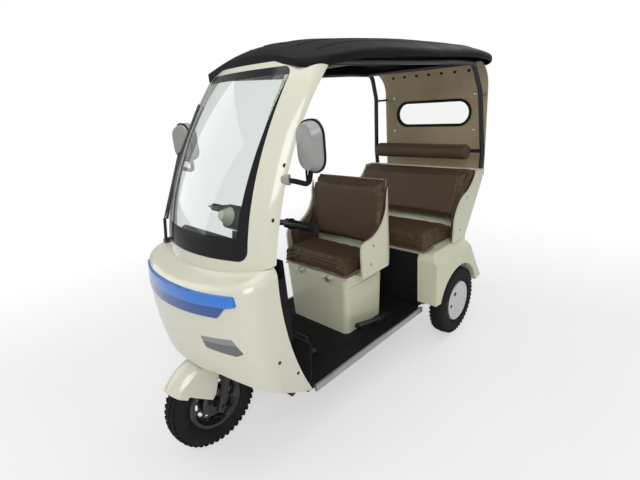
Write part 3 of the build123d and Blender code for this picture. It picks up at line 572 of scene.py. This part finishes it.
def touch(node: str, start: Point, way: Point) -> Optional[Vector]:
    """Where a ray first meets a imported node.

    Args:
        node: the node's name.
        start: where the ray starts.
        way: its direction.

    Returns:
        The point met, or None.
    """
    hit, spot, _, _ = frame["nodes"][node].ray_cast(Vector(start), Vector(way))
    return spot if hit else None


@dataclass(frozen=True)
class Pad:
    """One padded piece: how far its cover swells and where it is sewn.

    cap limits how far a point moves, seams are (axis, place) lines, tuck is how much smaller the cover
    starts, room is how far it may stand proud, and wing is the outline of a side lining in (y, z).
    """

    node: str
    body: Body
    cap: float
    fill: float
    seams: Tuple[Tuple[int, float], ...] = ()
    voxel: float = 0.006
    tuck: float = 0.006
    room: float = 0.004
    half_width: float = 1.0
    wing: Tuple[Tuple[float, float], ...] = ()
    wing_x: Tuple[float, float] = (0.0, 0.0)


DRIVER_WING = (
    (-0.088, 0.522), (-0.090, 0.640), (-0.077, 0.668), (-0.052, 0.681), (-0.008, 0.690), (0.052, 0.722),
    (0.086, 0.772), (0.098, 0.820), (0.106, 0.870), (0.130, 0.870), (0.115, 0.600), (0.100, 0.522),
)
BENCH_WING = (
    (0.501, 0.525), (0.506, 0.618), (0.527, 0.674), (0.556, 0.710), (0.612, 0.753), (0.688, 0.793),
    (0.724, 0.826), (0.740, 0.850), (0.786, 0.850), (0.735, 0.640), (0.640, 0.525),
)


@dataclass
class Upholstery:
    """Covers of the seats and the headrest, swollen as cloth over their foam."""

    pads: Tuple[Pad, ...] = (
        Pad(
            "driver_cushion", Body.DRIVER_SEAT, 0.018, 0.8, ((2, 0.577), (2, 0.562)), half_width=0.209,
            room=0.009,
        ),
        Pad(
            "driver_back_pad", Body.DRIVER_SEAT, 0.014, 0.8, ((0, -0.185), (0, 0.185)), tuck=0.004,
            wing=DRIVER_WING, wing_x=(0.211, 0.2355),
        ),
        Pad(
            "bench_cushion", Body.CHASSIS, 0.020, 0.8, ((2, 0.586), (2, 0.570)), half_width=0.333,
            room=0.009,
        ),
        Pad(
            "bench_back_pad", Body.CHASSIS, 0.016, 0.8, ((0, -0.300), (0, 0.300)), tuck=0.004,
            wing=BENCH_WING, wing_x=(0.3355, 0.3625),
        ),
        Pad("headrest", Body.CHASSIS, 0.014, 0.9, tuck=0.0, room=0.010),
    )
    pressure: float = 4.0
    frames: int = 20
    seam_depth: float = 0.0035
    seam_width: float = 0.0045

    def start(self, pad: Pad) -> bpy.types.Object:
        """Copy a pad's form, a little smaller, as an even mesh."""
        cover = bpy.data.objects.new(pad.node + "_cover", frame["nodes"][pad.node].data.copy())
        bpy.context.scene.collection.objects.link(cover)
        if pad.wing:
            wings = [self.wing(pad, side) for side in (-1, 1)]
            pick(cover, *wings)
            bpy.ops.object.join()
        pick(cover)
        bpy.ops.object.mode_set(mode="EDIT")
        bpy.ops.mesh.select_all(action="SELECT")
        bpy.ops.mesh.remove_doubles(threshold=0.0001)
        bpy.ops.object.mode_set(mode="OBJECT")
        harden(cover, "REMESH", mode="VOXEL", voxel_size=pad.voxel)
        pick(cover)
        bpy.ops.object.mode_set(mode="EDIT")
        bpy.ops.mesh.select_all(action="SELECT")
        bpy.ops.transform.shrink_fatten(value=-pad.tuck)
        bpy.ops.mesh.vertices_smooth(factor=0.5, repeat=4)
        bpy.ops.object.mode_set(mode="OBJECT")
        return cover

    def wing(self, pad: Pad, side: int) -> bpy.types.Object:
        """Padded lining of one side wing, as a plain plate."""
        inner, outer = pad.wing_x
        line = bpy.data.curves.new(pad.node + "_wing", "CURVE")
        line.dimensions = "2D"
        line.fill_mode = "BOTH"
        line.extrude = (outer - inner) / 2
        spline = line.splines.new("POLY")
        spline.points.add(len(pad.wing) - 1)
        for point, (y, z) in zip(spline.points, pad.wing):
            point.co = (y, z, 0.0, 1.0)
        spline.use_cyclic_u = True
        plate = bpy.data.objects.new(pad.node + "_wing", line)
        bpy.context.scene.collection.objects.link(plate)
        across = Matrix(((0, 0, 1, 0), (1, 0, 0, 0), (0, 1, 0, 0), (0, 0, 0, 1)))
        plate.matrix_world = Matrix.Translation((side * (inner + outer) / 2, 0, 0)) @ across
        pick(plate)
        bpy.ops.object.convert(target="MESH")
        bpy.ops.object.transform_apply(location=True, rotation=True, scale=True)
        return bpy.context.object

    def swell(self, covers: Sequence[bpy.types.Object]) -> None:
        """Blow all covers up together as cloth and keep the result."""
        for cover in covers:
            cloth = cover.modifiers.new("cloth", "CLOTH")
            cloth.settings.use_pressure = True
            cloth.settings.uniform_pressure_force = self.pressure
            cloth.settings.effector_weights.gravity = 0.0
            cloth.point_cache.frame_start = 1
            cloth.point_cache.frame_end = self.frames
        for step in range(1, self.frames + 1):
            bpy.context.scene.frame_set(step)
        for cover in covers:
            pick(cover)
            bpy.ops.object.modifier_apply(modifier="cloth")
        bpy.context.scene.frame_set(1)

    def hold(
        self, pad: Pad, cover: bpy.types.Object, before: List[Vector], facing: List[Vector]
    ) -> None:
        """Keep the swollen cover near its foam and clear of what it rests on."""
        low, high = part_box(pad.node)
        if pad.wing:
            low = (-pad.wing_x[1], min(low[1], min(y for y, _ in pad.wing)), min(z for _, z in pad.wing))
            high = (pad.wing_x[1], high[1], max(high[2], max(z for _, z in pad.wing)))
        for vertex, rest, way in zip(cover.data.vertices, before, facing):
            moved = vertex.co - rest
            if moved.length > pad.cap:
                moved *= pad.cap / moved.length
            if way.y > 0.3 and pad.node != "headrest":
                moved *= 0.1
            spot = rest + moved
            spot.x = min(max(spot.x, low[0] + 0.001, -pad.half_width), high[0] - 0.001, pad.half_width)
            spot.y = min(max(spot.y, low[1] - pad.room), high[1] - 0.001)
            spot.z = min(max(spot.z, low[2] + 0.0005), high[2] + pad.room)
            vertex.co = spot

    def sew(self, pad: Pad, cover: bpy.types.Object) -> None:
        """Press the seams into the cover."""
        harden(cover, "SUBSURF", levels=1)
        mesh = cover.data
        normals = [vertex.normal.copy() for vertex in mesh.vertices]
        for vertex, normal in zip(mesh.vertices, normals):
            press = 0.0
            for axis, place in pad.seams:
                if abs(normal[axis]) < 0.75:
                    off = (vertex.co[axis] - place) / self.seam_width
                    press += self.seam_depth * math.exp(-off * off)
            vertex.co -= normal * press

    def piping(self, pad: Pad) -> None:
        """Lay the light piping round the foot of a cushion."""
        low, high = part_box(pad.node)
        corner = 0.035
        z = low[2] + 0.012
        x = pad.half_width - 0.002
        front = low[1] + 0.004
        path = [(x, front + corner + 0.05, z), (x, front + corner, z)]
        for step in range(1, 8):
            turn = step / 8 * math.pi / 2
            path.append((x - corner + corner * math.cos(turn), front + corner - corner * math.sin(turn), z))
        path.append((x - corner, front, z))
        path += [(-px, py, pz) for px, py, pz in reversed(path)]
        bead(pad.node + "_piping", path, 0.0032, "piping_leather", pad.body)

    def build(self) -> None:
        """Make every cover."""
        covers = [self.start(pad) for pad in self.pads]
        before = [[vertex.co.copy() for vertex in cover.data.vertices] for cover in covers]
        facing = [[vertex.normal.copy() for vertex in cover.data.vertices] for cover in covers]
        self.swell(covers)
        for pad, cover, rest, ways in zip(self.pads, covers, before, facing):
            self.hold(pad, cover, rest, ways)
            self.sew(pad, cover)
            settle(cover, pad.node + "_cover", "seat_leather", pad.body, 80.0)
            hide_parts(pad.node)
        self.piping(self.pads[0])
        self.piping(self.pads[2])
        LOG.info("covered %d pads", len(covers))


@dataclass
class Wheels:
    """Tread of the three tyres, as rows of blocks on a slightly smaller carcass."""

    places: Tuple[Tuple[str, Body], ...] = (
        ("front_tyre", Body.FRONT_WHEEL), ("rear_tyre_left", Body.REAR_LEFT),
        ("rear_tyre_right", Body.REAR_RIGHT),
    )
    count: int = 46
    height: float = 0.005
    rows: Tuple[Tuple[float, float, float], ...] = (
        (-0.026, 0.012, 24.0), (0.0, 0.015, 0.0), (0.026, 0.012, -24.0),
    )

    def tyre(self, node: str, body: Body) -> None:
        """Make one tyre with its tread."""
        low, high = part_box(node)
        middle = Vector([(a + b) / 2 for a, b in zip(low, high)])
        radius = (high[2] - low[2]) / 2
        carcass = bpy.data.objects.new(node + "_carcass", frame["nodes"][node].data.copy())
        bpy.context.scene.collection.objects.link(carcass)
        for vertex in carcass.data.vertices:
            arm = vertex.co - middle
            reach = math.hypot(arm.y, arm.z)
            if reach > radius - self.height:
                share = (radius - self.height) / reach
                vertex.co = Vector((vertex.co.x, middle.y + arm.y * share, middle.z + arm.z * share))
        settle(carcass, node + "_carcass", "tyre_rubber", body, 50.0)
        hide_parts(node)
        blocks = []
        for across, width, lean in self.rows:
            stagger = 0.0 if lean else 0.5
            turn = stagger * 2 * math.pi / self.count
            drop = 0.0 if not lean else 0.0030
            reach = radius - self.height / 2 - 0.0005 - drop
            spot = middle + Vector((across, reach * math.sin(turn), reach * math.cos(turn)))
            bpy.ops.mesh.primitive_cube_add(
                size=1.0, location=spot, rotation=(-turn, math.radians(lean * -0.6), math.radians(lean))
            )
            cube = bpy.context.object
            cube.scale = (width, 0.0155, self.height)
            blocks.append(cube)
        pick(*blocks)
        bpy.ops.object.join()
        tread = bpy.context.object
        pick(tread)
        bpy.ops.object.transform_apply(location=True, rotation=True, scale=True)
        bpy.ops.object.empty_add()
        pivot = bpy.context.object
        spin = Matrix.Rotation(2 * math.pi / self.count, 4, "X")
        pivot.matrix_world = Matrix.Translation(middle) @ spin @ Matrix.Translation(-middle)
        bpy.context.view_layer.update()
        harden(
            tread, "ARRAY", use_relative_offset=False, use_object_offset=True, offset_object=pivot,
            count=self.count,
        )
        bpy.data.objects.remove(pivot)
        settle(tread, node + "_tread", "tyre_rubber", body, 30.0)

    def build(self) -> None:
        """Make all three tyres."""
        for node, body in self.places:
            self.tyre(node, body)


@dataclass
class Ribs:
    """Moulded ribs of the roof and the floor."""

    roof_x: Tuple[float, ...] = (-0.27, -0.18, -0.09, 0.0, 0.09, 0.18, 0.27)
    floor_step: float = 0.03
    rib: float = 0.0035
    floor_rib: float = 0.0022
    box_half: float = 0.21
    box_front: float = -0.17

    def along(self, node: str, name: str, x: float, y0: float, y1: float, top: float) -> None:
        """Lay one rib along the length on top of a node."""
        path = []
        steps = 36
        for i in range(steps + 1):
            spot = touch(node, (x, y0 + (y1 - y0) * i / steps, top), (0, 0, -1))
            if spot is not None:
                path.append((spot.x, spot.y, spot.z - self.rib * 0.35))
        if len(path) > 2:
            bead(name, path, self.rib, "black_plastic", Body.CHASSIS)

    def build(self) -> None:
        """Lay every rib."""
        low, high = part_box("roof")
        for i, x in enumerate(self.roof_x):
            self.along("roof", "roof_rib_%d" % i, x, low[1] + 0.09, high[1] - 0.12, 1.7)
        low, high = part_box("floor_pan")
        for i in range(-8, 9):
            x = i * self.floor_step
            end = high[1] - 0.02 if abs(x) > self.box_half else self.box_front
            path = [(x, low[1] + 0.17, high[2]), (x, end, high[2])]
            bead("floor_rib_%d" % (i + 8), path, self.floor_rib, "black_plastic", Body.CHASSIS)


@dataclass
class Fittings:
    """Screws, seals, clips and caps that the solids leave out."""

    seal_inset: float = 0.008
    seal_radius: float = 0.0075
    bolt_x: float = 0.262
    bolt_z: Tuple[float, float] = (1.24, 1.046)
    bolt_radius: float = 0.007
    valve_from_hub: Tuple[float, float] = (-0.045, 0.056)
    valve_radius: float = 0.011
    screw_radius: float = 0.0065
    shell_screws: Tuple[Tuple[str, float, float], ...] = (
        ("screen_frame", -0.55, 1.09), ("screen_frame", -0.62, 0.93), ("nose_shell", -0.68, 0.45),
        ("nose_shell", -0.60, 0.36),
    )
    seat_cap_radius: float = 0.006
    seat_caps: Tuple[Tuple[str, Body, float, float], ...] = (
        ("driver_seat_shell", Body.DRIVER_SEAT, -0.010, 0.640),
        ("driver_seat_shell", Body.DRIVER_SEAT, -0.035, 0.560),
        ("bench_shell", Body.CHASSIS, 0.640, 0.735),
        ("bench_shell", Body.CHASSIS, 0.565, 0.575),
    )
    mirror_middle: Tuple[float, float, float] = (0.385, -0.490, 1.140)
    mirror_glass: Point = (0.043, 0.066, 0.003)
    mirror_rim: float = 0.0042
    mirror_arm: Tuple[Point, ...] = (
        (0.337, -0.548, 1.0435), (0.352, -0.537, 1.040), (0.362, -0.487, 1.020), (0.3705, -0.482, 1.072),
    )
    arm_bend: float = 0.014
    arm_sleeve: float = 0.0084
    pod_screen_radius: float = 0.032
    stud_count: int = 7
    stud_step: float = 0.08
    stud_radius: float = 0.009

    def seal(self) -> None:
        """Black rubber seal round the rear window."""
        low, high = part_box("rear_window")
        r = (high[2] - low[2]) / 2 - self.seal_inset
        z = (high[2] + low[2]) / 2
        half = high[0] - self.seal_inset - r
        for side, y in (("outer", high[1] + 0.002), ("inner", low[1] - 0.004)):
            path = []
            for k in range(25):
                turn = -math.pi / 2 + math.pi * k / 24
                path.append((half + r * math.cos(turn), y, z + r * math.sin(turn)))
            path += [(-x, y, 2 * z - pz) for x, _, pz in path]
            bead("window_seal_" + side, path, self.seal_radius, "grip_rubber", Body.CHASSIS, True)

    def panel_bolts(self) -> None:
        """Bolts of the rear panel's window plate."""
        corners = [(x, z) for z in self.bolt_z for x in (-self.bolt_x, self.bolt_x)]
        for i, (x, z) in enumerate(corners):
            spot = touch("rear_panel", (x, 0.5, z), (0, 1, 0))
            if spot is not None:
                stud(
                    "panel_bolt_%d" % i, (x, spot.y - 0.002, z), (0, -1, 0), self.bolt_radius, 0.005,
                    "bright_metal", Body.CHASSIS,
                )

    def valve_holes(self) -> None:
        """Valve hole of each wheel cover."""
        back, up = self.valve_from_hub
        for node, body, way in (
            ("wheel_cover_left", Body.REAR_LEFT, 1), ("wheel_cover_right", Body.REAR_RIGHT, -1)
        ):
            low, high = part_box(node)
            face = high[0] if way > 0 else low[0]
            y = (low[1] + high[1]) / 2
            z = (low[2] + high[2]) / 2
            spot = touch(node, (face + 0.1 * way, y + back, z + up), (-way, 0, 0))
            if spot is not None:
                stud(
                    node + "_valve_hole", tuple(spot), (way, 0, 0), self.valve_radius, 0.001,
                    "black_plastic", body,
                )

    def nose_screws(self) -> None:
        """Screw heads along the windscreen's pillars and the nose."""
        for i, (node, y, z) in enumerate(self.shell_screws):
            for way in (-1, 1):
                spot = touch(node, (way, y, z), (-way, 0, 0))
                if spot is not None:
                    name = "shell_screw_%d_%d" % (i, way)
                    stud(
                        name, tuple(spot), (way, -0.1, 0), self.screw_radius, 0.003, "frame_paint",
                        Body.CHASSIS,
                    )

    def mirror_faces(self) -> None:
        """Mirror glass on the side of each housing that faces the driver."""
        x, _, z = self.mirror_middle
        _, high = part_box("mirrors")
        for way in (-1, 1):
            back = touch("mirrors", (way * x, high[1] + 0.2, z), (0, -1, 0))
            if back is None:
                continue
            bpy.ops.mesh.primitive_cylinder_add(
                vertices=48, radius=1.0, depth=1.0, location=(way * x, back.y + 0.001, z),
                rotation=(math.pi / 2, 0, 0),
            )
            glass = bpy.context.object
            glass.scale = self.mirror_glass
            settle(glass, "mirror_glass_%d" % way, "bright_metal", Body.CHASSIS)

    def mirror_sleeves(self) -> None:
        """Black rubber sleeves over the mirror arms."""
        for way in (-1, 1):
            path = [(way * x, y, z) for x, y, z in rounded(self.mirror_arm, self.arm_bend)]
            bead("mirror_sleeve_%d" % way, path, self.arm_sleeve, "grip_rubber", Body.CHASSIS)

    def mirror_rims(self) -> None:
        """Black rim round each mirror housing, laid on its widest outline."""
        x, y, z = self.mirror_middle
        steps = 40
        for way in (-1, 1):
            path = []
            for k in range(steps):
                turn = 2 * math.pi * k / steps
                out = Vector((math.cos(turn) * 0.8, 0.0, math.sin(turn)))
                start = Vector((way * x, y, z)) + out * 0.16
                spot = touch("mirrors", tuple(start), tuple(-out.normalized()))
                if spot is not None:
                    path.append(tuple(spot))
            if len(path) > steps / 2:
                bead("mirror_rim_%d" % way, path, self.mirror_rim, "grip_rubber", Body.CHASSIS, True)

    def seat_screws(self) -> None:
        """Cap screws of the seat wings, outside."""
        for i, (node, body, y, z) in enumerate(self.seat_caps):
            for way in (-1, 1):
                spot = touch(node, (way * 0.6, y, z), (-way, 0, 0))
                if spot is not None:
                    name = "seat_screw_%d_%d" % (i, way)
                    stud(name, tuple(spot), (way, 0, 0), self.seat_cap_radius, 0.003, "steel", body)

    def pod_screen(self) -> None:
        """Dark glass of the instrument pod."""
        low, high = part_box("instrument_pod")
        z = (low[2] + high[2]) / 2
        spot = touch("instrument_pod", (0.0, high[1] + 0.2, z), (0, -1, 0))
        if spot is not None:
            stud(
                "pod_screen", (0.0, spot.y + 0.0005, z), (0, 1, 0), self.pod_screen_radius, 0.003,
                "clear_pane", Body.STEERING,
            )

    def canopy_studs(self) -> None:
        """Press studs along the rear panel's top edge."""
        _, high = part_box("rear_panel")
        for i in range(self.stud_count):
            x = self.stud_step * (i - (self.stud_count - 1) / 2)
            spot = touch("rear_panel", (x, 0.5, high[2] - 0.035), (0, 1, 0))
            if spot is not None:
                stud(
                    "panel_stud_%d" % i, (x, spot.y - 0.002, spot.z), (0, -1, 0), self.stud_radius, 0.006,
                    "grip_rubber", Body.CHASSIS,
                )

    def build(self) -> None:
        """Fit everything."""
        self.seat_screws()
        self.pod_screen()
        self.canopy_studs()
        self.seal()
        self.panel_bolts()
        self.valve_holes()
        self.nose_screws()
        self.mirror_faces()
        self.mirror_rims()
        self.mirror_sleeves()


@dataclass
class Studio:
    """Camera, lamps, floor and backdrop."""

    eye: Point = (1.3032, -1.3939, 1.2782)
    yaw: float = 0.7889
    pitch: float = 0.3295
    roll: float = 0.0794
    lens: float = 23.22
    floor_half: float = 14.0
    pale: float = 0.86
    ambient: float = 0.34
    lamps: Tuple[Tuple[str, Point, float, float], ...] = (
        ("key", (2.6, -2.8, 3.4), 2.6, 84.0),
        ("fill", (-3.2, -2.2, 2.4), 3.0, 30.0),
        ("back", (0.5, 3.6, 3.0), 3.0, 42.0),
        ("top", (0.0, 0.0, 4.4), 3.2, 40.0),
    )

    def camera(self) -> None:
        """Stand the camera where the photograph was taken."""
        ahead = Vector((
            -math.sin(self.yaw) * math.cos(self.pitch), math.cos(self.yaw) * math.cos(self.pitch),
            -math.sin(self.pitch),
        ))
        level = Vector((math.cos(self.yaw), math.sin(self.yaw), 0.0))
        under = ahead.cross(level)
        right = math.cos(self.roll) * level + math.sin(self.roll) * under
        down = -math.sin(self.roll) * level + math.cos(self.roll) * under
        turn = Matrix((right, -down, -ahead)).transposed().to_4x4()
        data = bpy.data.cameras.new("photo_camera")
        data.lens = self.lens
        data.sensor_width = 36.0
        eye = bpy.data.objects.new("photo_camera", data)
        eye.matrix_world = Matrix.Translation(self.eye) @ turn
        bpy.context.scene.collection.objects.link(eye)
        bpy.context.scene.camera = eye

    def lamp(self, name: str, at: Point, size: float, power: float) -> None:
        """Hang one soft area lamp that looks at the middle of the tricycle."""
        data = bpy.data.lights.new(name, "AREA")
        data.shape = "SQUARE"
        data.size = size
        data.energy = power
        lamp = bpy.data.objects.new(name, data)
        lamp.location = at
        lamp.rotation_euler = (Vector((0, 0, 0.6)) - Vector(at)).to_track_quat("-Z", "Y").to_euler()
        bpy.context.scene.collection.objects.link(lamp)

    def floor(self) -> None:
        """Lay the pale floor."""
        bpy.ops.mesh.primitive_plane_add(size=2 * self.floor_half, location=(0, 0, 0))
        floor = bpy.context.object
        floor.name = "floor"
        shader = Shader("studio_floor")
        path = shader.tree.nodes.new("ShaderNodeLightPath")
        seen = Signal(shader, path.outputs["Is Camera Ray"])
        seen = seen.larger(Signal(shader, path.outputs["Is Transmission Ray"]))
        grey = shader.noise(2.0, 2.0).ramp(0.3, 0.7, self.pale - 0.01, self.pale + 0.01)
        shader.set(Base_Color=shader.node("ShaderNodeCombineColor", None, {0: grey, 1: grey, 2: grey}))
        shader.set(Roughness=0.9)
        self.whiten(shader, seen)
        floor.data.materials.append(shader.material)

    def whiten(self, shader: Shader, seen: Signal) -> None:
        """Let the camera see the floor almost white, with its shadows kept."""
        shader.set(Emission_Color=(1.0, 1.0, 1.0))
        shader.surface.inputs["Emission Strength"].default_value = 0.0
        glow = shader.tree.nodes.new("ShaderNodeEmission")
        mix = shader.tree.nodes.new("ShaderNodeMixShader")
        x, y, _ = shader.axes()
        far = (abs(x)).larger(abs(y)).ramp(1.1, 2.6, 0.55, 1.0)
        shader.feed(mix.inputs[0], seen * far)
        shader.tree.links.new(shader.surface.outputs[0], mix.inputs[1])
        shader.tree.links.new(glow.outputs[0], mix.inputs[2])
        shader.tree.links.new(mix.outputs[0], shader.output.inputs["Surface"])

    def sky(self) -> None:
        """Even pale surroundings."""
        world = bpy.data.worlds.new("studio")
        world.use_nodes = True
        bpy.context.scene.world = world
        tree = world.node_tree
        ground = tree.nodes["Background"]
        ground.inputs[0].default_value = (1.0, 1.0, 1.0, 1.0)
        ground.inputs[1].default_value = self.ambient
        white = tree.nodes.new("ShaderNodeBackground")
        white.inputs[0].default_value = (1.0, 1.0, 1.0, 1.0)
        white.inputs[1].default_value = 1.0
        path = tree.nodes.new("ShaderNodeLightPath")
        add = tree.nodes.new("ShaderNodeMath")
        add.operation = "MAXIMUM"
        mix = tree.nodes.new("ShaderNodeMixShader")
        tree.links.new(path.outputs["Is Camera Ray"], add.inputs[0])
        tree.links.new(path.outputs["Is Transmission Ray"], add.inputs[1])
        tree.links.new(add.outputs[0], mix.inputs[0])
        tree.links.new(ground.outputs[0], mix.inputs[1])
        tree.links.new(white.outputs[0], mix.inputs[2])
        tree.links.new(mix.outputs[0], tree.nodes["World Output"].inputs["Surface"])

    def build(self) -> None:
        """Set up the whole studio."""
        bpy.context.scene.view_settings.view_transform = "Standard"
        self.camera()
        self.floor()
        self.sky()
        for name, at, size, power in self.lamps:
            self.lamp(name, at, size, power)


def dress_nodes() -> None:
    """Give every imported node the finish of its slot."""
    slots = {part["node"]: part["material_slot"] for part in frame["record"]["subparts"]}
    for name, node in frame["nodes"].items():
        slot = slots[name]
        node.data.materials.clear()
        node.data.materials.append(finish(slot))
    LOG.info("dressed %d nodes", len(frame["nodes"]))


def main() -> None:
    """Build the studio and the tricycle's looks."""
    logging.basicConfig(level=logging.INFO, format="%(name)s: %(message)s")
    Studio().build()
    dress_nodes()
    Upholstery().build()
    Wheels().build()
    Ribs().build()
    Fittings().build()


if __name__ == "__main__":
    main()
